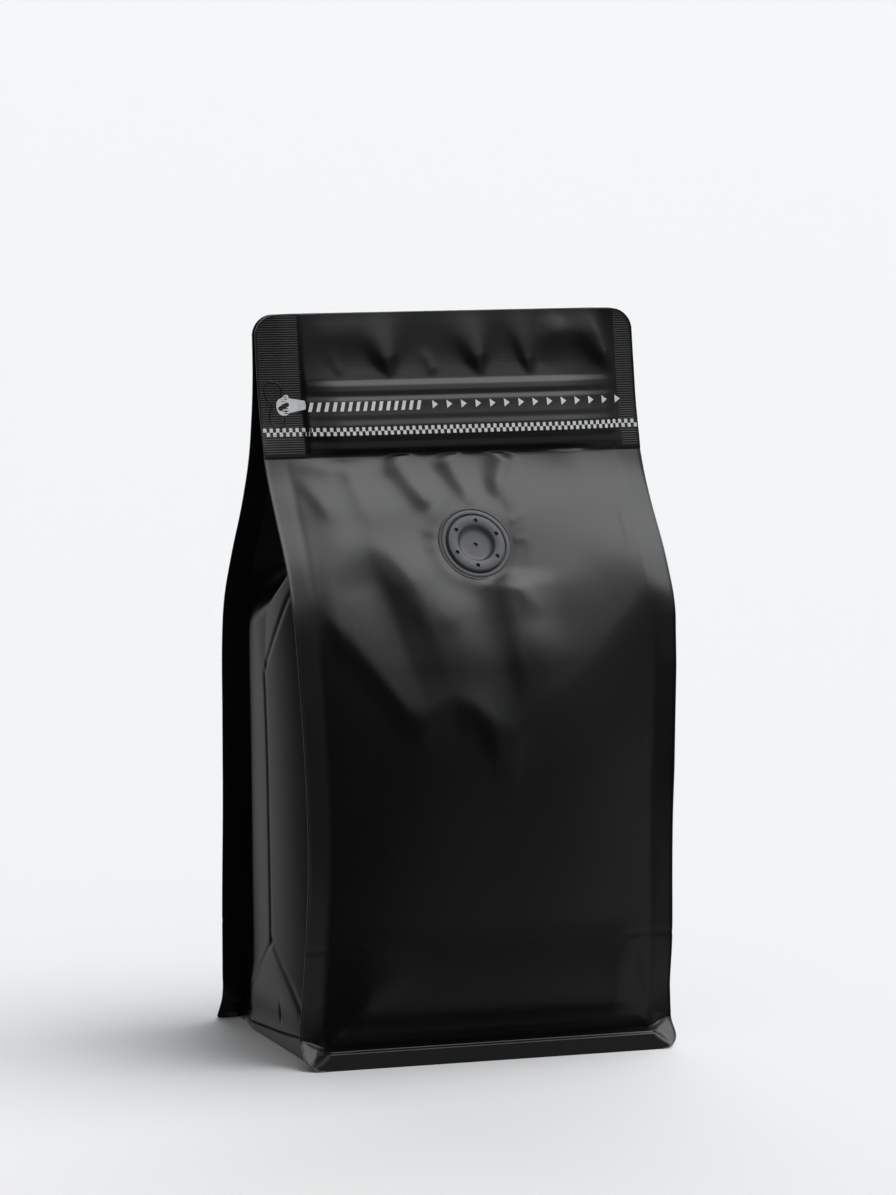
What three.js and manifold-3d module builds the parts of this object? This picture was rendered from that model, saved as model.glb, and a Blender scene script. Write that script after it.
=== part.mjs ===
// A stand-up coffee bag: a flat-bottom, side-gusset pouch of thick black film, with
// four sealed corner fins, a sealed skirt round its base, a flat header with a press
// zip, and a one-way degassing valve set in the front shoulder.
//
// Millimetres, +Z up. The origin is the centre of the base, the front panel faces -Y
// and the two side gussets face -X and +X.

import * as THREE from 'three';
import { mergeVertices } from 'three/addons/utils/BufferGeometryUtils.js';
import Module from 'manifold-3d';

const wasm = await Module();
wasm.setup();

// ---------------------------------------------------------------- driving dimensions

const bag = {
  height: 239.5,
  finWidth: 8,            // sealed strip down each of the four corners
  finThickness: 0.9,
  topCornerRadius: 7,
  skirtCornerFront: 7,    // radius of the skirt's corners, die-cut round at the front
  skirtCornerBack: 1,
  skirtSlope: 1.35,       // length along the flared skirt for each millimetre of height
  ledgeHeight: 5.4,       // top of the sealed skirt
  ledgeHalf: 2.6,         // height of the ledge above and below its edge
  ledgeProud: 0.9,
  bellyPower: 2.6,        // how squarely a panel's belly ends at the fins
  headerStart: 193.6,
};

// The bag's outline at the heights where it changes: height, half width over the fins,
// y of the front and back fins, and how far the front and back panels belly out.
const stations = [
  [0.0, 64.6, -49.4, 49.6, 0.0, 0.0],
  [8.0, 63.9, -42.9, 45.3, 0.3, 0.3],
  [16.0, 63.9, -42.1, 44.9, 2.4, 2.4],
  [40.0, 63.2, -44.8, 47.3, 5.4, 5.2],
  [72.0, 62.4, -46.2, 48.7, 7.2, 7.0],
  [104.0, 63.2, -44.9, 46.0, 8.6, 7.4],
  [128.0, 64.3, -42.8, 42.3, 5.6, 4.8],
  [144.0, 65.0, -40.4, 37.0, 1.0, 1.2],
  [160.0, 65.0, -33.7, 28.0, -0.6, 0.0],
  [176.0, 64.9, -21.3, 17.3, 1.8, 1.4],
  [192.0, 64.9, -9.0, 9.1, 0.7, 0.7],
  [206.0, 64.9, -2.9, 5.7, 0.3, 0.3],
  [220.0, 65.0, 0.0, 3.9, 0.9, 0.6],
  [239.5, 65.0, 2.7, 4.9, 0.1, 0.1],
];

// The side gussets bulge out between the fins. Above foldStart the centre crease turns
// inwards, and above the shoulder line the film folds into a deep V up to the header.
const gusset = {
  bulgeLow: 4.2,          // at the base, growing to bulgeHigh
  bulgeHigh: 6.2,
  bulgeStart: 20,
  bulgeRise: 60,
  bulgeEnd: 146,          // from here up the bulge runs out
  bulgeFall: 30,
  squareBase: 8.5,        // how squarely the bulge ends at the fins, at the base and above
  squareBody: 2.1,
  squareRise: 24,
  creaseDepth: 0.5,
  creaseHalf: 0.1,        // as a share of the half depth
  creaseEnd: 150,         // from here up the centre crease runs out
  creaseFall: 20,
  halfFilm: 46.5,         // film from a fin to the centre crease
  foldStart: 122.5,       // where the centre crease ends
  foldRise: 23.5,         // how far the two diagonal creases climb to the fins
  facetSlope: 0.24,       // inward lean of the facet above the diagonals
  facetPower: 8,          // how squarely the facet ends at the fins
  shoulderFront: 154,     // height at which the V begins, at the front and back fins
  shoulderBack: 138,
  shoulderLength: 26,
  closeStart: 197,        // the V closes between these heights, where the header is sealed
  closeEnd: 215,
};

// Horizontal ribs of the press zip, pressed through the header's film: the height of each
// and how proud it stands at the front.
const zip = {
  left: -50,              // the side edges between which the ribs run
  right: 57,
  backShare: 0.5,         // how proud they stand at the back, as a share of the front
  ribHalf: 0.9,
  ribs: [[198.6, 0.7], [205.6, 0.6], [213.4, 0.5], [217.4, 1.0]],
};

const valve = {
  height: 166.2,          // of its centre, on the middle of the front panel
  tilt: 29,               // degrees that its face leans back
  radius: 12.5,
  seatRadius: 16,         // flat seat that the film is drawn over
  seatBlend: 12,          // width of the ring in which the seat runs out into the panel
  proud: 0.8,             // of the seat, over the panel at the valve's centre
  thickness: 1.7,
  pocket: 1.0,            // how deep the disc is let into the seat
  gap: 0.3,
  holeCircle: 7.9,
  holeCount: 6,
  holeRadius: 0.65,
  centreHoleRadius: 0.8,
  sides: 36,
  holeSides: 10,
};

// ------------------------------------------------------------------------- helpers

const smooth = (t) => {
  const c = Math.min(Math.max(t, 0), 1);
  return c * c * (3 - 2 * c);
};

// Value of one column of the stations at a height, on a smooth curve through them.
function along(column, z) {
  const last = stations.length - 1;
  let i = 0;
  while (i < last - 1 && z > stations[i + 1][0]) i += 1;
  const slope = (k) => {
    const low = stations[Math.max(k - 1, 0)];
    const high = stations[Math.min(k + 1, last)];
    return (high[column] - low[column]) / (high[0] - low[0]);
  };
  const [from, to] = [stations[i], stations[i + 1]];
  const step = to[0] - from[0];
  const t = (z - from[0]) / step;
  return (
    from[column] * (1 + 2 * t) * (1 - t) ** 2 + to[column] * (3 - 2 * t) * t * t +
    step * (slope(i) * t * (1 - t) ** 2 - slope(i + 1) * (1 - t) * t * t)
  );
}

// How far a rounded corner of the given radius cuts in, at a distance from the edge.
const cornerCut = (distance, radius) => {
  const d = Math.min(Math.max(distance, 0), radius);
  return radius - Math.sqrt(radius ** 2 - (radius - d) ** 2);
};

// ------------------------------------------------------------- surfaces of the pouch

function outlineAt(z) {
  const full = along(1, z) - cornerCut(bag.height - z, bag.topCornerRadius);
  const halfFront = full - cornerCut(z * bag.skirtSlope, bag.skirtCornerFront);
  const halfBack = full - cornerCut(z * bag.skirtSlope, bag.skirtCornerBack);
  const root = Math.min(along(1, z) - bag.finWidth, halfFront - 0.5, halfBack - 0.5);
  return { halfFront, halfBack, root, front: along(2, z), back: along(3, z) };
}

// Belly of the front or back panel, with the skirt's ledge and the zip's ribs on it.
function panelReach(x, z, column, ribScale) {
  const { root } = outlineAt(z);
  const across = Math.abs(x) / root;
  const ledge = bag.ledgeProud * Math.max(0, 1 - Math.abs(z - bag.ledgeHeight) / bag.ledgeHalf);
  let ribs = 0;
  if (x >= zip.left && x <= zip.right) {
    for (const [height, proud] of zip.ribs) {
      ribs += proud * Math.max(0, 1 - Math.abs(z - height) / zip.ribHalf);
    }
  }
  return along(column, z) * (1 - across ** bag.bellyPower) + ledge + ribScale * ribs;
}

// The valve's seat: its centre on the front panel and the outward direction of its face.
const lean = THREE.MathUtils.degToRad(valve.tilt);
const seat = {
  y: along(2, valve.height) - panelReach(0, valve.height, 4, 1) - valve.proud / Math.cos(lean),
  outward: new THREE.Vector3(0, -Math.cos(lean), Math.sin(lean)),
};

// y of the front panel, drawn flat round the valve.
function frontAt(x, z) {
  const free = along(2, z) - panelReach(x, z, 4, 1);
  const rise = z - valve.height;
  const away = Math.hypot(x, rise / Math.cos(lean));
  const held = 1 - smooth((away - valve.seatRadius) / valve.seatBlend);
  return free + (seat.y + rise * Math.tan(lean) - free) * held;
}

// Outward x of a side gusset, where v runs from -1 at the front fin to 1 at the back one.
function gussetReach(v, z) {
  const { root, front, back } = outlineAt(z);
  const g = gusset;
  const edge = Math.abs(v);
  const bulge = g.bulgeLow + (g.bulgeHigh - g.bulgeLow) * smooth((z - g.bulgeStart) / g.bulgeRise);
  const creased = 1 - smooth((z - g.creaseEnd) / g.creaseFall);
  const crease = g.creaseDepth * Math.max(0, 1 - edge / g.creaseHalf) * creased;
  const squareness = g.squareBase + (g.squareBody - g.squareBase) * smooth(z / g.squareRise);
  const spread = bulge * (1 - edge ** squareness) * (1 - smooth((z - g.bulgeEnd) / g.bulgeFall));
  const diagonal = g.foldStart + edge * g.foldRise;
  const facet = g.facetSlope * Math.max(0, z - diagonal) * (1 - edge ** g.facetPower);
  const gap = (back - front) / 2 - bag.finThickness;
  const depth = Math.sqrt(Math.max(g.halfFilm ** 2 - gap ** 2, 0));
  const closing = 1 - smooth((z - g.closeStart) / (g.closeEnd - g.closeStart));
  const shoulder = (g.shoulderFront + g.shoulderBack + v * (g.shoulderBack - g.shoulderFront)) / 2;
  const folded = smooth((z - shoulder) / g.shoulderLength);
  return root + spread - crease - facet * (1 - folded) - depth * (1 - edge) * closing * folded;
}

const panelColumns = [-50, -43, -36, -29, -23, -17, -11, -5.5, 0, 5.5, 11, 17, 23, 29, 36, 43, 50];
const gussetColumns = [-1, -0.86, -0.7, -0.5, -0.25, 0, 0.25, 0.5, 0.7, 0.86, 1];

// One level of the pouch: its outline, anticlockwise from the front left fin.
function ringAt(z) {
  const { halfFront, halfBack, root, front, back } = outlineAt(z);
  const scale = root / (along(1, z) - bag.finWidth);
  const across = [-root, ...panelColumns.map((x) => x * scale), root];
  const inner = { front: front + bag.finThickness, back: back - bag.finThickness };
  const side = (v) => inner.front + ((inner.back - inner.front) * (v + 1)) / 2;
  const points = [[-halfFront, front]];
  for (const x of across) points.push([x, frontAt(x, z)]);
  points.push([halfFront, front], [halfFront, inner.front]);
  for (const v of gussetColumns) points.push([gussetReach(v, z), side(v)]);
  points.push([halfBack, inner.back], [halfBack, back]);
  for (const x of [...across].reverse()) points.push([x, back + panelReach(x, z, 5, zip.backShare)]);
  points.push([-halfBack, back], [-halfBack, inner.back]);
  for (const v of [...gussetColumns].reverse()) points.push([-gussetReach(v, z), side(v)]);
  points.push([-halfFront, inner.front]);
  return points.map(([x, y]) => new THREE.Vector3(x, y, z));
}

function levels() {
  const skirt = [0, 1, 2.4, 4.2, bag.ledgeHeight, 8, 11, 16];
  const body = [22, 30, 40, 52, 65, 78, 91, 104, 114, gusset.foldStart, 128, 134, 140, 146];
  const shoulder = [151, 156, 161, 166, 171, 176, 181, 186, 190, bag.headerStart, 196.5];
  const ribs = zip.ribs.flatMap(([height]) => [height - zip.ribHalf, height, height + zip.ribHalf]);
  const corner = [90, 60, 40, 20, 0].map((angle) => {
    const drop = 1 - Math.cos(THREE.MathUtils.degToRad(angle));
    return bag.height - bag.topCornerRadius * drop;
  });
  return [...skirt, ...body, ...shoulder, ...ribs, 209.5, 224, 228.5, ...corner].sort((a, b) => a - b);
}

// Closed skin through the rings, with a flat cap at the base and at the top edge.
function skin(rings) {
  const count = rings[0].length;
  const positions = rings.flat().flatMap((p) => [p.x, p.y, p.z]);
  const index = [];
  for (let j = 0; j + 1 < rings.length; j += 1) {
    for (let i = 0; i < count; i += 1) {
      const next = (i + 1) % count;
      const [a, b, c, d] = [j * count + i, j * count + next, (j + 1) * count + next, (j + 1) * count + i];
      index.push(a, b, c, a, c, d);
    }
  }
  const cap = (ring) => THREE.ShapeUtils.triangulateShape(ring.map((p) => new THREE.Vector2(p.x, p.y)), []);
  for (const [a, b, c] of cap(rings[0])) index.push(a, c, b);
  const top = (rings.length - 1) * count;
  for (const [a, b, c] of cap(rings[rings.length - 1])) index.push(top + a, top + b, top + c);
  const geometry = new THREE.BufferGeometry();
  geometry.setAttribute('position', new THREE.Float32BufferAttribute(positions, 3));
  geometry.setIndex(index);
  return geometry;
}

// ------------------------------------------------------------------ solid operations

function toSolid(geometry) {
  const plain = geometry.clone();
  plain.deleteAttribute('normal');
  plain.deleteAttribute('uv');
  const merged = mergeVertices(plain, 1e-4);
  return new wasm.Manifold(new wasm.Mesh({
    numProp: 3,
    vertProperties: new Float32Array(merged.attributes.position.array),
    triVerts: new Uint32Array(merged.index.array),
  }));
}

function toGeometry(solid) {
  const mesh = solid.getMesh();
  const geometry = new THREE.BufferGeometry();
  geometry.setAttribute('position', new THREE.Float32BufferAttribute(mesh.vertProperties, 3));
  geometry.setIndex(Array.from(mesh.triVerts));
  geometry.computeVertexNormals();
  return geometry;
}

// ---------------------------------------------------------------------------- valve

// The valve's own frame: its face looks along +Y of the lathe, which is turned to the
// outward direction of the leaning front shoulder.
function valvePlacement() {
  const turn = new THREE.Quaternion().setFromUnitVectors(new THREE.Vector3(0, 1, 0), seat.outward);
  const centre = new THREE.Vector3(0, seat.y, valve.height);
  return new THREE.Matrix4().compose(centre, turn, new THREE.Vector3(1, 1, 1));
}

const lathe = (profile, sides) => {
  const points = profile.map(([radius, height]) => new THREE.Vector2(radius, height));
  return new THREE.LatheGeometry(points, sides);
};

// Disc with a raised flange, a groove inside it, a flat ring and a dished middle.
function valveDisc() {
  const { radius, thickness, pocket, gap } = valve;
  const low = gap - pocket;
  const top = low + thickness;
  const profile = [
    [0, low], [radius - 0.3, low], [radius, low + 0.3], [radius, top - 0.45], [radius - 0.5, top],
    [radius - 1.7, top], [radius - 2.1, top - 0.65], [radius - 2.6, top - 0.65], [radius - 3, top - 0.1],
    [6.3, top - 0.1], [5.7, top - 0.35], [4.4, top - 0.85], [2.2, top - 1.05], [0, top - 1.1],
  ];
  let disc = toSolid(lathe(profile, valve.sides));
  const cut = (x, z, radiusOfHole) => {
    const hole = new THREE.CylinderGeometry(radiusOfHole, radiusOfHole, thickness * 3, valve.holeSides);
    disc = disc.subtract(toSolid(hole.translate(x, 0, z)));
  };
  cut(0, 0, valve.centreHoleRadius);
  for (let i = 0; i < valve.holeCount; i += 1) {
    const angle = (2 * Math.PI * (i + 0.5)) / valve.holeCount;
    cut(valve.holeCircle * Math.cos(angle), valve.holeCircle * Math.sin(angle), valve.holeRadius);
  }
  return toGeometry(disc);
}

// The pouch, with the shallow pocket that the disc sits in.
function pouchBody() {
  const radius = valve.radius + valve.gap;
  const clear = 2 * valve.thickness;
  const outline = [[0, -valve.pocket], [radius, -valve.pocket], [radius, clear], [0, clear]];
  const pocket = lathe(outline, valve.sides);
  const film = toSolid(skin(levels().map(ringAt)));
  return toGeometry(film.subtract(toSolid(pocket.applyMatrix4(valvePlacement()))));
}

// ---------------------------------------------------------------------------- model

const filmMaterial = new THREE.MeshStandardMaterial({ color: 0x1d1e20, roughness: 0.55, metalness: 0 });
const valveMaterial = new THREE.MeshStandardMaterial({ color: 0x242527, roughness: 0.5, metalness: 0 });

const model = new THREE.Group();

const pouchMesh = new THREE.Mesh(pouchBody(), filmMaterial);
pouchMesh.name = 'pouch';
model.add(pouchMesh);

const valveMesh = new THREE.Mesh(valveDisc(), valveMaterial);
valveMesh.name = 'valve';
valveMesh.applyMatrix4(valvePlacement());
model.add(valveMesh);

export default model;
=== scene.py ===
import math

import bmesh
import bpy
import numpy as np
from mathutils import Matrix, Vector


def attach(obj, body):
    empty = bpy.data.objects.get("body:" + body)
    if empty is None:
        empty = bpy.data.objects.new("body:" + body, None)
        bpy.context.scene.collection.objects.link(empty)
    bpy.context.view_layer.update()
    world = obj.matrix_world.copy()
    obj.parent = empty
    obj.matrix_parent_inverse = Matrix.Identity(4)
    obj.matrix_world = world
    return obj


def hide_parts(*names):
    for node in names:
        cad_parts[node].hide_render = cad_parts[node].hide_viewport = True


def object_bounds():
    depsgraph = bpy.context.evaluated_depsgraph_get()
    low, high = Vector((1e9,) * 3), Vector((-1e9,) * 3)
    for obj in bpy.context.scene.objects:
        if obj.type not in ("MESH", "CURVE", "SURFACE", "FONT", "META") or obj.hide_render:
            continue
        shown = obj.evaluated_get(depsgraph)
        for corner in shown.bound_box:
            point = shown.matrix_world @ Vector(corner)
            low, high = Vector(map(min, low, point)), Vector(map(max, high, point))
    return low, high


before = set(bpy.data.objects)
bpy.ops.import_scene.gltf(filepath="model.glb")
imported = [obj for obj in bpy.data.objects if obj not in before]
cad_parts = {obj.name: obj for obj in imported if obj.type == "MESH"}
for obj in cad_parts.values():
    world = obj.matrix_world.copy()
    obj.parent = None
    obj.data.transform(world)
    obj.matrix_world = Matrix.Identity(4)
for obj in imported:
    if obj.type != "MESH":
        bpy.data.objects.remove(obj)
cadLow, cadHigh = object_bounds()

# A stand-up coffee bag. Shapes are worked out in millimetres and turned into metres
# when a mesh is made. The front panel faces -Y, the side gussets face -X and +X.

mm = 0.001
print("frame loaded")


def smooth(t):
    c = np.clip(t, 0.0, 1.0)
    return c * c * (3.0 - 2.0 * c)


def ridgeShape(distance, width):
    return np.exp(-(distance / width) ** 2)


# the bag's outline

bag = {
    "height": cadHigh.z / mm,
    "finWidth": 8.0,          # sealed strip down each corner
    "filmThickness": 0.55,
    "topCorner": 7.0,         # radius
    "skirtCornerFront": 7.0,
    "skirtCornerBack": 1.0,
    "skirtSlope": 1.35,       # length along the flared skirt for each mm of height
    "leftCrimp": -50.0,       # inner edges of the header's crimped ends
    "rightCrimp": 57.3,
    "bellyPower": 2.6,        # how squarely the belly fills the panel's width
    "rootInset": 0.5,         # the fins never get narrower than this
    "finColumns": 12,         # of the mesh, across a fin and across a panel
    "panelColumns": 162,
}

# height, half width over the fins, y of the front and back fins, belly of both panels
stations = np.array([
    [0.0, 64.6, -49.4, 49.6, 0.0, 0.0],
    [8.0, 63.9, -42.9, 45.3, 0.3, 0.3],
    [16.0, 63.9, -42.1, 44.9, 2.4, 2.4],
    [40.0, 63.2, -44.8, 47.3, 5.4, 5.2],
    [72.0, 62.4, -46.2, 48.7, 7.2, 7.0],
    [104.0, 63.2, -44.9, 46.0, 8.6, 7.4],
    [128.0, 64.3, -42.8, 42.3, 5.6, 4.8],
    [144.0, 65.0, -40.4, 37.0, 1.0, 1.2],
    [160.0, 65.0, -33.7, 28.0, -0.6, 0.0],
    [176.0, 64.9, -21.3, 17.3, 1.8, 1.4],
    [192.0, 64.9, -9.0, 9.1, 0.7, 0.7],
    [206.0, 64.9, -2.9, 5.7, 0.3, 0.3],
    [220.0, 65.0, 0.0, 3.9, 0.9, 0.6],
    [239.5, 65.0, 2.7, 4.9, 0.1, 0.1],
])


def along(column, z):
    # one column of the stations at any height, on a smooth curve through them
    z = np.asarray(z, float)
    last = len(stations) - 1
    heights, values = stations[:, 0], stations[:, column]
    low = np.maximum(np.arange(last + 1) - 1, 0)
    high = np.minimum(np.arange(last + 1) + 1, last)
    slope = (values[high] - values[low]) / (heights[high] - heights[low])
    i = np.clip(np.searchsorted(heights, z, side="right") - 1, 0, last - 1)
    step = heights[i + 1] - heights[i]
    t = (z - heights[i]) / step
    start = values[i] * (1 + 2 * t) * (1 - t) ** 2 + values[i + 1] * (3 - 2 * t) * t * t
    return start + step * (slope[i] * t * (1 - t) ** 2 - slope[i + 1] * (1 - t) * t * t)


def cornerCut(distance, radius):
    d = np.clip(distance, 0.0, radius)
    return radius - np.sqrt(radius**2 - (radius - d) ** 2)


def halfWidth(z, skirtCorner):
    topCut = cornerCut(bag["height"] - z, bag["topCorner"])
    return along(1, z) - topCut - cornerCut(z * bag["skirtSlope"], skirtCorner)


def rootWidth(z):
    # half width inside the fins, where the belly and the gussets start
    front = halfWidth(z, bag["skirtCornerFront"]) - bag["rootInset"]
    return np.minimum(along(1, z) - bag["finWidth"], front)


def betweenFins(x, z):
    # 1 on the panel, 0 on its fins
    return smooth((rootWidth(z) + 1.5 - np.abs(x)) / 4.0)


# Folds in the film. Each runs from its upper end x, z to its lower end x, z; then come its
# height, the widths of its left and right flanks, how much wider its lower end is, how far
# it bows, and the shares of its length over which it rises and fades away.

frontFolds = [
    # between the header and the valve
    (-23.0, 195.0, -11.0, 176.0, 1.80, 6.0, 6.0, 0.6, 0.0, 0.20, 0.30),
    (-4.5, 195.0, 3.0, 177.0, 1.45, 5.0, 5.0, 0.6, 0.0, 0.20, 0.30),
    (17.5, 195.0, 8.5, 177.0, 1.90, 4.6, 4.0, 0.8, 0.0, 0.22, 0.45),
    (20.5, 190.0, 12.0, 175.0, 0.50, 2.0, 3.4, 0.7, 0.0, 0.40, 0.30),
    (20.0, 175.5, 13.0, 172.5, 0.22, 1.0, 1.0, 0.8, 0.0, 0.50, 0.05),
    (19.0, 167.5, 13.5, 167.0, 0.20, 1.0, 1.0, 0.8, 0.0, 0.50, 0.05),
    (-20.0, 171.5, -12.0, 169.8, 0.16, 1.6, 1.2, 0.8, 0.0, 0.60, 0.05),
    (-20.0, 165.6, -12.0, 165.6, 0.12, 1.4, 1.2, 0.8, 0.0, 0.60, 0.05),
    (-38.0, 194.6, -30.0, 166.0, 0.80, 3.4, 9.0, 1.6, -1.0, 0.25, 0.60),
    (-55.0, 189.0, -46.0, 174.0, 0.45, 3.0, 4.0, 0.8, 0.0, 0.30, 0.40),
    (38.0, 199.0, 45.0, 176.0, 0.75, 8.0, 6.0, 1.0, 0.0, 0.05, 0.80),
    # from the valve down over the shoulder
    (-34.0, 172.0, -13.0, 118.0, 2.70, 6.5, 13.0, 1.0, 3.5, 0.35, 0.55),
    (-41.0, 171.0, -26.0, 114.0, -1.00, 9.0, 4.0, 1.0, 1.0, 0.30, 0.40),
    (7.5, 158.0, 10.5, 106.0, 3.00, 6.4, 11.0, 1.0, 1.0, 0.11, 0.65),
    (8.5, 158.0, 18.0, 142.0, 0.50, 3.0, 2.4, 1.3, 0.0, 0.30, 0.70),
    (-13.0, 157.5, 10.0, 154.0, -0.42, 6.0, 3.2, 1.0, -3.0, 0.35, 0.30),
    (-21.0, 146.5, -8.0, 142.0, 0.25, 4.0, 7.0, 1.0, 0.0, 0.40, 0.40),
    (-10.0, 154.0, 42.0, 154.0, 0.50, 13.0, 8.0, 1.0, 0.0, 0.30, 0.30),
    # beside the fins
    (-44.0, 194.5, -46.0, 152.0, 1.10, 8.0, 12.0, 1.0, 0.0, 0.12, 0.40),
    (53.0, 182.0, 52.4, 162.0, 0.25, 0.8, 1.2, 1.0, 0.0, 0.40, 0.40),
    (52.0, 116.0, 54.0, 92.0, 0.30, 1.6, 2.4, 1.0, 0.0, 0.50, 0.50),
    # from the skirt's corners into the belly
    (-28.0, 48.0, -56.0, 6.5, 1.50, 14.0, 14.0, 0.2, 2.0, 0.50, 0.12),
    (43.0, 44.0, 55.0, 7.0, 0.80, 9.0, 6.0, 0.5, 0.0, 0.40, 0.20),
]

headerFolds = [
    # puckers that fan upwards from the zip's top rib into the band above it
    (-25.5, 243.0, -20.0, 218.0, 1.90, 9.5, 12.0, 0.10, 0.0, 0.75, 0.30),
    (6.5, 243.0, 11.5, 218.0, 1.75, 9.5, 10.0, 0.10, 0.0, 0.75, 0.30),
    (24.0, 243.0, 28.5, 218.0, 1.20, 6.0, 9.0, 0.12, 0.0, 0.70, 0.25),
    (46.0, 243.0, 57.5, 218.0, 1.60, 10.0, 5.0, 0.12, 0.0, 0.70, 0.30),
    (-41.0, 231.0, -37.0, 218.5, 0.30, 3.0, 4.0, 0.30, 0.0, 0.50, 0.30),
    (-9.0, 229.0, -5.0, 218.5, 0.35, 1.6, 2.4, 1.00, 0.0, 0.50, 0.30),
    (32.0, 222.0, 42.0, 238.0, 0.70, 5.0, 5.0, 1.00, 0.0, 0.50, 0.40),
    # the arches between them
    (-50.0, 232.5, -25.0, 232.5, 0.50, 4.5, 5.0, 1.0, 0.0, 0.40, 0.40),
    (30.0, 232.5, 58.0, 232.0, 0.60, 4.5, 5.0, 1.0, 0.0, 0.40, 0.40),
]

backFolds = [
    (-26.0, 197.0, -12.0, 154.0, -1.0, 3.0, 6.0, 1.4, 1.0, 0.03, 0.7),
    (5.0, 197.0, 11.0, 146.0, -1.0, 6.0, 3.0, 1.6, 0.0, 0.03, 0.7),
    (32.0, 195.0, 22.0, 136.0, 1.0, 4.0, 7.0, 1.4, 0.0, 0.15, 0.6),
    (-44.0, 192.0, -26.0, 122.0, 1.4, 7.0, 4.5, 1.4, 1.0, 0.20, 0.5),
    (-9.0, 168.0, -1.0, 104.0, 1.5, 6.0, 8.0, 1.2, 0.0, 0.50, 0.5),
    (46.0, 158.0, 28.0, 104.0, 1.5, 8.0, 6.0, 1.0, 0.0, 0.45, 0.5),
    (17.0, 146.0, 12.0, 98.0, -1.0, 5.0, 6.0, 1.2, 0.0, 0.50, 0.5),
    # from the skirt's corners into the belly
    (-36.0, 28.0, -57.0, 6.0, 1.0, 4.0, 4.0, 0.5, 0.0, 0.60, 0.1),
    (37.0, 28.0, 57.0, 6.0, 1.0, 4.0, 4.0, 0.5, 0.0, 0.60, 0.1),
]


def foldRelief(x, z, folds):
    relief = np.zeros(np.broadcast(x, z).shape)
    for x0, z0, x1, z1, height, left, right, spread, bow, rise, fall in folds:
        length = math.hypot(x1 - x0, z1 - z0)
        ux, uz = (x1 - x0) / length, (z1 - z0) / length
        t = ((x - x0) * ux + (z - z0) * uz) / length
        inside = np.clip(t, 0, 1)
        across = (z - z0) * ux - (x - x0) * uz - bow * 4 * inside * (1 - inside)
        width = np.where(across < 0, left, right) * (1 + (spread - 1) * inside)
        relief += height * smooth(t / rise) * smooth((1 - t) / fall) * ridgeShape(across, width)
    return relief


# where the leaning shoulder turns down into the belly: distance across the panel, height
shoulderLine = [
    (-62, 151), (-56, 147), (-47, 138), (-38, 126.5), (-30, 115.5), (-25, 113), (-20, 117),
    (-15, 120), (-9, 117), (-1, 110), (5, 108.5), (10, 113), (16, 117.5), (24, 121), (33, 127),
    (41, 136), (50, 145), (56, 151), (62, 155),
]

# the press zip lifts the header's film in steps: height, how far it stands forward
zipSteps = [
    (192.8, 0.0), (194.2, 0.2), (196.4, 2.5), (198.8, 2.65), (200.3, 3.6), (203.8, 3.7), (205.4, 3.35),
    (206.8, 3.3), (207.2, 3.25), (211.5, 2.45), (212.9, 1.75), (214.6, 1.6), (216.3, 1.1), (218.0, 0.1),
    (219.3, -0.2), (221.0, -0.55), (222.5, -0.82), (224.0, -1.03), (225.5, -1.2), (227.0, -1.33),
    (229.0, -1.46), (232.0, -1.63), (235.5, -1.88), (239.5, -2.25),
]


def softLine(points, softness, step=0.05):
    # a line through the points with its corners rounded, to be read at any place along it
    places, values = zip(*points)
    fine = np.arange(places[0] - 3, places[-1] + 3, step)
    kernel = ridgeShape(np.arange(-30, 31) * step, softness)
    soft = np.convolve(np.interp(fine, places, values), kernel / kernel.sum(), "same")
    return lambda place: np.interp(place, fine, soft)


zipProfile = softLine(zipSteps, 0.3)
shoulderEdge = softLine(shoulderLine, 1.6)

header = {
    "foot": 193.5,
    "stand": 2.0,             # how far all of it stands in front of the panel,
    "standRun": 5.0,          # the height that this takes,
    "standLoss": 0.4,         # and the share of it lost again up to the top edge
    "leftShare": 0.45,        # the ribs' height beside the left crimp
    "leftRun": 12.0,
    "rightShare": 0.35,       # and beside the right one
    "rightRun": 24.0,
    "ledgeRun": 10.0,         # the upper band is fuller beside the left crimp
    "seam": 0.25,
    "seamRun": 12.0,
    "forward": 0.4,           # how far the front panel comes forward below it
    "backRibs": 0.35,         # the ribs' share that shows in the back film
    "backTop": 1.6,           # how far that film stands out above them
}


def zipRelief(x, z):
    # a short step up beside the left crimp, a long slope down to the right one
    fromLeft = x - bag["leftCrimp"]
    fromRight = bag["rightCrimp"] + 1.5 - x
    fromFoot = np.clip(z - header["foot"], 0, None)
    start = smooth((fromLeft + 0.9) / 1.8)
    left = header["leftShare"] + (1 - header["leftShare"]) * smooth(fromLeft / header["leftRun"])
    right = header["rightShare"] + (1 - header["rightShare"]) * smooth(fromRight / header["rightRun"])
    ribs = start * left * smooth(fromRight / 6) * right * zipProfile(z)
    fuller = start * np.exp(-np.clip(fromLeft, 0, None) / header["ledgeRun"])
    ledge = fuller * (0.1 + 1.1 * smooth((z - 213.0) / 6)) * smooth((z - 193.7) / 1.5)
    crimped = 1 - start * smooth((59.0 - x) / 1.2)
    seam = header["seam"] * smooth((z - header["foot"]) / 0.6) * np.exp(-fromFoot / header["seamRun"])
    loss = 1 - header["standLoss"] * smooth((z - 206.0) / 34)
    stand = header["stand"] * (1 - np.exp(-fromFoot / header["standRun"])) * loss
    return stand + ribs + ledge + seam * crimped


shoulder = {
    "height": 0.7,
    "leftMore": 0.8,          # it stands out more towards the left edge,
    "middleMore": 1.5,        # under the valve
    "rightMore": 0.5,         # and right of the middle
    "fallAbove": 11.0,
    "fallBelow": 7.5,
    "fallBelowRight": 5.0,    # added to the one before, from the middle rightwards
}


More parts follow.
